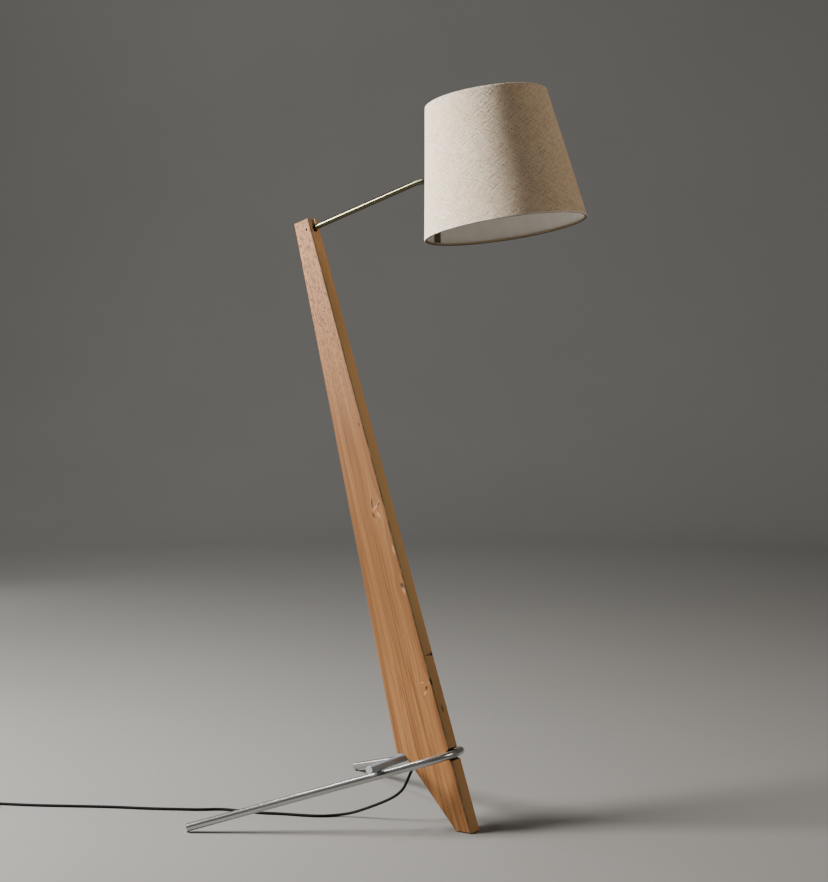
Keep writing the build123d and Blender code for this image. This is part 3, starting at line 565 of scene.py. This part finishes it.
# Checks and small knots on the narrow front face: y, z, half height, half width.
FRONT_MARKS = [
    (0.002, 0.387, 0.0018, 0.0180), (0.0120, 0.3870, 0.0052, 0.0055),
    (-0.0168, 0.331, 0.0105, 0.0034), (-0.0010, 0.269, 0.0110, 0.0032),
]
GRAIN_LEAN = radians(15.5)


def wood(name):
    """Softwood: grain that fans from the rear edge to the front edge, fibres, knots and checks."""
    s = Surface(name, Roughness=0.55, Specular_IOR_Level=0.3)
    x, y, z = s.split(s.place)
    up = x * -sin(GRAIN_LEAN) + z * cos(GRAIN_LEAN)
    deep = x * cos(GRAIN_LEAN) + z * sin(GRAIN_LEAN)
    to_front = (x - TOE_X) * -cos(LEAN) + z * -sin(LEAN)
    to_rear = (x - REAR_TOP[0]) * cos(REAR_LEAN) + (z - REAR_TOP[1]) * sin(REAR_LEAN)
    share = to_rear / (to_front + to_rear)
    front = to_front.remap(0.0015, 0.005, 1.0, 0.0)
    wide_side = front * -1 + 1

    # The grain's coordinate across the plank, with its slow and quick wanderings.
    slow = s.noise(s.join(up * 1.5, share * 1.6, y * 5.0), detail=2.0) - 0.5
    quick = s.noise(s.join(up * 9.0, share * 5.0, y * 30.0), detail=2.0) - 0.5
    across = share * 0.10 + slow * 0.014 + quick * 0.0022
    for kx, kz, size in KNOTS:
        du = up - (kx * -sin(GRAIN_LEAN) + kz * cos(GRAIN_LEAN))
        dv = deep - (kx * cos(GRAIN_LEAN) + kz * sin(GRAIN_LEAN))
        away = du * du * 0.30 + dv * dv
        across = across - dv * (away * (-1 / (2.0 * size) ** 2)).math("EXPONENT") * 0.85

    # Marks with torn outlines, on the wide side and then on the narrow front.
    torn = s.noise(s.place, scale=420.0, detail=4.0, roughness=0.7) - 0.5
    ragged = s.noise(s.place, scale=170.0, detail=3.0) - 0.5

    def blot(px, pz, tall, wide, lean):
        """A ragged spindle on the wide side, leaning forward from upright."""
        rise = (x - px) * sin(lean) + (z - pz) * cos(lean)
        off = (x - px) * cos(lean) - (z - pz) * sin(lean)
        away = (rise * rise * (1 / tall ** 2) + off * off * (1 / wide ** 2)).math("SQRT")
        return (away + torn * 4.0).remap(0.40, 1.30, 1.0, 0.0) * wide_side

    def blots(marks):
        """All the blots of a list in one."""
        strongest = None
        for mark in marks:
            strongest = darker(strongest, blot(*mark))
        return strongest

    dark, pale, ruddy = blots(DARK_MARKS), blots(PALE_MARKS), blots(RUDDY_MARKS)
    for my, mz, tall, wide in FRONT_MARKS:
        dz, dy = (z - mz) / tall, (y - my) / wide
        mark = (dz * dz + dy * dy).math("SQRT") + ragged * 1.2
        dark = darker(dark, mark.remap(0.55, 1.05, 1.0, 0.0) * front)

    # The grain's parts, from the broad bands to the pores.
    band = s.noise(s.join(up * 0.9, across * 75.0, y * 45.0), detail=2.0)
    line = s.noise(s.join(up * 2.2, across * 260.0, y * 130.0), detail=2.5, roughness=0.6)
    year = s.noise(s.join(up * 0.7, across * 62.0, y * 30.0))
    year_line = (year - 0.5).math("ABSOLUTE").remap(0.004, 0.022, 1.0, 0.0)
    fibre = s.noise(s.join(up * 8.0, across * 800.0, y * 700.0), detail=3.0, roughness=0.6)
    pore = s.noise(s.join(up * 160.0, deep * 430.0, y * 430.0), detail=1.0)
    dash = s.noise(s.join(up * 75.0, deep * 215.0, y * 215.0), detail=1.5, roughness=0.6)
    dash = dash * 0.55 + pore * 0.45

    # Tones run from the toe through the middle to the paler top.
    high = z.remap(0.85, 1.36, smooth=False)
    low = z.remap(0.20, 0.60, 1.0, 0.0)
    base = s.mix(low, (0.232, 0.101, 0.028), (0.334, 0.153, 0.052))
    base = s.mix(high, base, (0.465, 0.228, 0.094))
    rich = s.mix(low, (0.194, 0.080, 0.021), (0.280, 0.121, 0.038))
    rich = s.mix(high, rich, (0.400, 0.188, 0.075))
    streak = s.mix(high, (0.165, 0.064, 0.019), (0.200, 0.094, 0.044))
    colour = s.mix(band.remap(0.36, 0.64), base, rich)
    colour = s.mix(line.remap(0.50, 0.62) * 0.74, colour, streak)
    colour = s.mix(line.remap(0.34, 0.46, 1.0, 0.0) * 0.22, colour, (0.430, 0.232, 0.096))
    colour = s.mix(year_line * high.remap(0.0, 0.6, 0.66, 0.20), colour, (0.135, 0.052, 0.016))
    colour = s.mix(fibre.remap(0.50, 0.76) * 0.28, colour, streak)
    dashes = dash.remap(0.505, 0.565) * high.remap(0.0, 0.6, 0.12, 0.90)
    colour = s.mix(dashes, colour, (0.125, 0.056, 0.024))

    # The narrow front face runs olive on one side to orange on the other, and is painted lighter,
    # most at mid height, as painted light standing in for the light on this shaded face.
    front_face_light = to_front.remap(0.0006, 0.0016, 1.0, 0.0)
    front_face_light = front_face_light * z.remap(0.25, 0.60, 0.55, 0.90) * z.remap(0.90, 1.25, 1.0, 0.70)
    front_tone = s.mix(y.remap(-0.008, 0.012), (0.625, 0.420, 0.200), (0.738, 0.422, 0.183))
    colour = s.mix(front_face_light, colour, front_tone)

    colour = s.mix(ruddy * 0.60, colour, (0.300, 0.108, 0.028))
    colour = s.mix(pale * 0.50, colour, (0.570, 0.335, 0.165))
    colour = s.mix(dark * 0.95, colour, (0.028, 0.011, 0.005))

    # Painted shade: a broken dark line along the near front edge, where the edge falls into
    # shadow.
    near_arris_shade = (y + HALF_POST).remap(0.0006, 0.0052, 1.0, 0.0) * front
    broken = s.noise(s.join(up * 22.0, 0.0, 4.0), detail=3.0).remap(0.30, 0.60, 0.25, 1.0)
    colour = s.mix(near_arris_shade * broken * 0.72, colour, (0.070, 0.032, 0.014))

    # Painted shade: the notch for the bend and the arm's slot are painted near black, where shadow
    # falls into them.
    within = y.math("ABSOLUTE")
    notch_shade = within.remap(0.0165, 0.0178, 1.0, 0.0) * to_front.remap(0.001, 0.004)
    notch_shade = notch_shade * z.remap(0.205, 0.215, 1.0, 0.0) * x.remap(0.045, 0.055)
    slot = within.remap(0.0076, 0.0082, 1.0, 0.0) * z.remap(1.320, 1.330)
    slot = slot * to_front.remap(0.0004, 0.0012)
    painted_recess_shade = darker(notch_shade, slot)
    colour = s.mix(painted_recess_shade * 0.97, colour, (0.010, 0.005, 0.003))

    s.colour(colour)
    s.roughness(line.remap(0.3, 0.7, 0.58, 0.48) + painted_recess_shade * 0.45)
    relief = fibre * 0.45 - line * 0.5 - dash * high * 0.8 - dark * 2.6 + pale * 0.6
    s.bump(relief, strength=0.5, distance=0.0006)
    return s.material


def satin_metal(name, tint, deep_tint, rough, metallic=1.0, cut_end=None):
    """Satin metal: an even rubbed skin with slow stains and a faint polishing grain.

    cut_end gives a bar along y the distance of its sawn ends and their brighter tint.
    """
    s = Surface(name, Metallic=metallic, Specular_IOR_Level=0.5)
    fine = s.noise(s.place, scale=900.0, detail=2.0)
    stain = s.noise(s.place, scale=11.0, detail=3.0)
    colour = s.mix(stain.remap(0.35, 0.75) * 0.7 + fine * 0.1, tint, deep_tint)
    if cut_end:
        reach, end_tint = cut_end
        y = s.split(s.place)[1]
        sawn = y.math("ABSOLUTE").remap(reach - 0.0016, reach - 0.0006)   # inside its chamfer
        colour = s.mix(sawn, colour, end_tint)
    s.colour(colour)
    s.roughness(stain.remap(0.3, 0.75, rough - 0.03, rough + 0.04) + (fine - 0.5) * 0.03)
    s.bump(fine, strength=0.012, distance=0.0001)
    return s.material


def moulded(name, tint, rough, speck=1500.0, specular=0.4):
    """Moulded plastic or rubber: spark-eroded grain, faint flow marks and dust."""
    s = Surface(name, Specular_IOR_Level=specular)
    grain = s.noise(s.place, scale=speck, detail=3.0, roughness=0.6)
    flow = s.noise(s.place, scale=45.0, detail=3.0)
    lighter = tuple(min(1.0, c * 1.6 + 0.004) for c in tint)
    s.colour(s.mix(flow.remap(0.40, 0.75) * 0.5 + grain.remap(0.5, 0.8) * 0.3, tint, lighter))
    s.roughness(flow.remap(0.3, 0.7, rough - 0.06, rough + 0.07))
    s.bump(grain, strength=0.22, distance=0.0002)
    return s.material


def painted(name, tint, worn, rough, metallic=0.75):
    """Painted or blackened steel with worn specks."""
    s = Surface(name, Metallic=metallic, Specular_IOR_Level=0.5)
    patch = s.noise(s.place, scale=60.0, detail=4.0)
    grain = s.noise(s.place, scale=1800.0, detail=2.0)
    s.colour(s.mix(patch.remap(0.50, 0.78) * 0.7, tint, worn))
    s.roughness(patch.remap(0.3, 0.7, rough - 0.05, rough + 0.1))
    s.bump(grain + patch, strength=0.12, distance=0.0002)
    return s.material


def linen(name):
    """Heathered linen: crossing slanted yarns, uneven threads both ways, and dark flecks."""
    s = Surface(
        name, Roughness=0.88, Sheen_Weight=0.12, Sheen_Roughness=0.5, Specular_IOR_Level=0.2
    )
    node = s.tree.nodes.new("ShaderNodeAttribute")
    node.attribute_name = "thread"
    round_it, up, roll_shade = s.split(node.outputs["Vector"])
    slant = radians(34)
    falling = round_it * cos(slant) + up * -sin(slant)
    falling_off = round_it * sin(slant) + up * cos(slant)
    rising = round_it * cos(slant) + up * sin(slant)
    rising_off = round_it * -sin(slant) + up * cos(slant)
    one_way = s.noise(s.join(falling * 30.0, falling_off * 280.0, 0.0), detail=1.5, roughness=0.6)
    other_way = s.noise(s.join(rising * 30.0, rising_off * 280.0, 7.0), detail=1.5, roughness=0.6)
    hatch = (one_way + other_way) * 0.5
    weft = s.noise(s.join(round_it * 60.0, up * 850.0, 0.0), detail=3.0, roughness=0.7)
    warp = s.noise(s.join(round_it * 850.0, up * 60.0, 3.0), detail=3.0, roughness=0.7)
    threads = (weft + warp) * 0.5
    nub = s.noise(s.join(round_it * 260.0, up * 260.0, 5.0), detail=3.0, roughness=0.7)
    cloud = s.noise(s.join(round_it * 9.0, up * 9.0, 2.0), detail=3.0)
    flecks = s.dots(s.join(round_it, up, 0.0), scale=95.0).remap(0.07, 0.16, 1.0, 0.0)
    flecks = flecks * s.noise(s.join(round_it * 33.0, up * 33.0, 8.0)).remap(0.44, 0.56)

    colour = s.mix(cloud.remap(0.3, 0.7), (0.985, 0.805, 0.595), (0.955, 0.755, 0.540))
    colour = s.mix(hatch.remap(0.50, 0.60) * 0.52, colour, (0.610, 0.480, 0.345))
    colour = s.mix(hatch.remap(0.40, 0.49, 1.0, 0.0) * 0.50, colour, (0.985, 0.890, 0.760))
    colour = s.mix(threads.remap(0.44, 0.62) * 0.40, colour, (0.600, 0.500, 0.380))
    colour = s.mix(nub.remap(0.57, 0.72) * 0.46, colour, (0.330, 0.250, 0.180))
    colour = s.mix(flecks * 0.62, colour, (0.180, 0.125, 0.085))
    # Painted highlight: a bright line on the outer fold of the lower roll, which lies between
    # these lengths along the thread.
    fold_highlight = up.remap(0.0107, 0.0113) * up.remap(0.0128, 0.0138, 1.0, 0.0)
    colour = s.mix(fold_highlight * 0.85, colour, (1.000, 0.960, 0.880))
    # Painted shade: the cloth turned in over the wires is painted dark brown, and the underside of
    # the lower roll near black.
    colour = s.mix(roll_shade.remap(0.40, 0.85) * 0.80, colour, (0.345, 0.250, 0.140))
    colour = s.mix(roll_shade.remap(1.2, 1.8) * 0.85, colour, (0.085, 0.060, 0.036))
    s.colour(colour)
    s.bump(hatch * 2.2 + threads * 0.5 + nub * 0.9, strength=1.0, distance=0.0030)
    return s.material


def liner(name):
    """White laminate inside the shade: faint fibre cloud and a satin skin."""
    s = Surface(name, Specular_IOR_Level=0.35)
    cloud = s.noise(s.place, scale=40.0, detail=4.0)
    fibre = s.noise(s.scaled(s.place, (300.0, 300.0, 900.0)), detail=3.0)
    mottle = cloud.remap(0.3, 0.75) * 0.5 + fibre * 0.3
    s.colour(s.mix(mottle, (0.80, 0.765, 0.715), (0.70, 0.66, 0.605)))
    s.roughness(cloud.remap(0.3, 0.7, 0.48, 0.60))
    s.bump(fibre + cloud, strength=0.15, distance=0.0003)
    return s.material


def glazed(name):
    """White glazed ceramic with tiny pits."""
    s = Surface(name, Coat_Weight=0.6, Coat_Roughness=0.08)
    pit = s.noise(s.place, scale=700.0, detail=2.0)
    cloud = s.noise(s.place, scale=60.0, detail=3.0)
    s.colour(s.mix(cloud, (0.82, 0.80, 0.75), (0.74, 0.71, 0.65)))
    s.roughness(cloud.remap(0.3, 0.7, 0.14, 0.26))
    s.bump(pit, strength=0.1, distance=0.0002)
    return s.material


def frosted_glass(name):
    """Frosted bulb glass: an even inner coating with faint clouds."""
    s = Surface(name, Transmission_Weight=0.35, IOR=1.45)
    cloud = s.noise(s.place, scale=90.0, detail=3.0)
    s.colour(s.mix(cloud, (0.90, 0.89, 0.86), (0.82, 0.81, 0.77)))
    s.roughness(cloud.remap(0.3, 0.7, 0.22, 0.34))
    s.bump(cloud, strength=0.05, distance=0.0003)
    return s.material


finishes = {
    "timber": wood("oiled_timber"),
    "timber_cover": wood("oiled_timber_strip"),
    "satin_rod": satin_metal("satin_steel", (0.54, 0.54, 0.535), (0.47, 0.47, 0.465), 0.22, 0.90),
    "rubbed_rod": satin_metal(
        "rubbed_steel", (0.270, 0.325, 0.385), (0.230, 0.280, 0.335), 0.48, 0.10,
        cut_end=(0.159, (0.400, 0.400, 0.405)),
    ),
    "brass": satin_metal("aged_brass", (0.112, 0.106, 0.064), (0.092, 0.086, 0.049), 0.13),
    "bronze": painted("dark_bronze", (0.165, 0.120, 0.078), (0.26, 0.195, 0.125), 0.46),
    "dark_steel": painted("blackened_steel", (0.045, 0.045, 0.046), (0.12, 0.12, 0.12), 0.38),
    "nylon": moulded("nylon", (0.030, 0.029, 0.028), 0.50),
    "black_rubber": moulded("black_rubber", (0.018, 0.018, 0.019), 0.62),
    "black_plastic": moulded("black_plastic", (0.016, 0.016, 0.017), 0.44),
    "cable_black": moulded(
        "cable_sheath", (0.004, 0.004, 0.004), 0.62, speck=900.0, specular=0.12
    ),
    "linen": linen("heathered_linen"),
    "white_liner": liner("shade_lining"),
    "white_wire": painted(
        "enamelled_wire", (0.70, 0.69, 0.65), (0.60, 0.58, 0.54), 0.35, metallic=0.0
    ),
    "ceramic": glazed("glazed_ceramic"),
    "aluminium": satin_metal("spun_aluminium", (0.80, 0.80, 0.81), (0.70, 0.70, 0.71), 0.30),
    "glass": frosted_glass("frosted_glass"),
}


def dress(piece, slot):
    """Give a piece its finish."""
    if piece.material_slots:
        for place in piece.material_slots:
            place.material = finishes[slot]
    else:
        piece.data.materials.append(finishes[slot])


for entry in frame["record"]["subparts"]:
    dress(frame["nodes"][entry["node"]], entry["material_slot"])
for piece in (mains_cord, strain_boot, mains_plug, shade_linen):
    dress(piece, piece["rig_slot"])
dress(frame["nodes"]["crossbar"], "rubbed_rod")

# ---- Stage: a wide bowl, its floor flat and its rim turned up far behind everything ----

FLAT_RADIUS = 5.6
CURVE_RADIUS = 3.0
WALL_TOP = 9.0
CURVE_STEPS = 16
SECTORS = 96

bowl = [(2.0, 0.0), (4.0, 0.0), (FLAT_RADIUS, 0.0)]
for step in range(1, CURVE_STEPS + 1):
    a = pi / 2 * step / CURVE_STEPS
    bowl.append((FLAT_RADIUS + CURVE_RADIUS * sin(a), CURVE_RADIUS - CURVE_RADIUS * cos(a)))
bowl.append((FLAT_RADIUS + CURVE_RADIUS, WALL_TOP))
stage_mesh = bpy.data.meshes.new("stage")
bm = bmesh.new()
rings = []
for radius, height in bowl:
    ring = []
    for i in range(SECTORS):
        a = 2 * pi * i / SECTORS
        ring.append(bm.verts.new((radius * cos(a), radius * sin(a), height)))
    rings.append(ring)
bm.faces.new(rings[0])
for low, high in zip(rings, rings[1:]):
    for i in range(SECTORS):
        j = (i + 1) % SECTORS
        bm.faces.new((low[i], low[j], high[j], high[i])).smooth = True
bm.to_mesh(stage_mesh)
bm.free()
stage = bpy.data.objects.new("stage", stage_mesh)
bpy.context.scene.collection.objects.link(stage)
backdrop = Surface("backdrop", Roughness=0.9, Specular_IOR_Level=0.1)
paper = backdrop.noise(backdrop.place, scale=1.3, detail=2.0)
backdrop.colour(backdrop.mix(paper, (0.226, 0.223, 0.216), (0.244, 0.241, 0.234)))
stage.data.materials.append(backdrop.material)

# ---- Light ----


def softbox(name, place, target, size, power, tint):
    """An area light at a place, turned to a target."""
    lamp = bpy.data.lights.new(name, "AREA")
    lamp.shape = "RECTANGLE"
    lamp.size, lamp.size_y = size
    lamp.energy = power
    lamp.color = tint
    holder = bpy.data.objects.new(name, lamp)
    bpy.context.scene.collection.objects.link(holder)
    holder.location = place
    holder.rotation_euler = (Vector(target) - Vector(place)).to_track_quat("-Z", "Y").to_euler()


softbox("key", (-2.6, -1.9, 2.5), (0.0, 0.0, 1.0), (1.3, 1.6), 452, (1.0, 0.965, 0.92))
softbox("fill", (3.0, 1.3, 2.5), (0.1, 0.0, 1.25), (1.1, 1.2), 29, (1.0, 0.80, 0.60))
softbox("top", (-1.6, -0.2, 3.4), (-0.15, -0.17, 0.1), (0.5, 0.5), 26, (0.97, 0.985, 1.0))
softbox("far_leg", (-3.98, 1.62, 0.74), (-0.30, 0.22, 0.07), (0.8, 0.5), 8, (0.98, 0.99, 1.0))
softbox("wall_wash", (-3.4, 3.0, 4.6), (-6.2, 7.0, 1.6), (3.0, 2.0), 75, (1.0, 0.995, 0.975))

world = bpy.data.worlds.new("room")
bpy.context.scene.world = world
world.use_nodes = True
world.node_tree.nodes["Background"].inputs["Color"].default_value = (0.55, 0.55, 0.545, 1)
world.node_tree.nodes["Background"].inputs["Strength"].default_value = 0.10
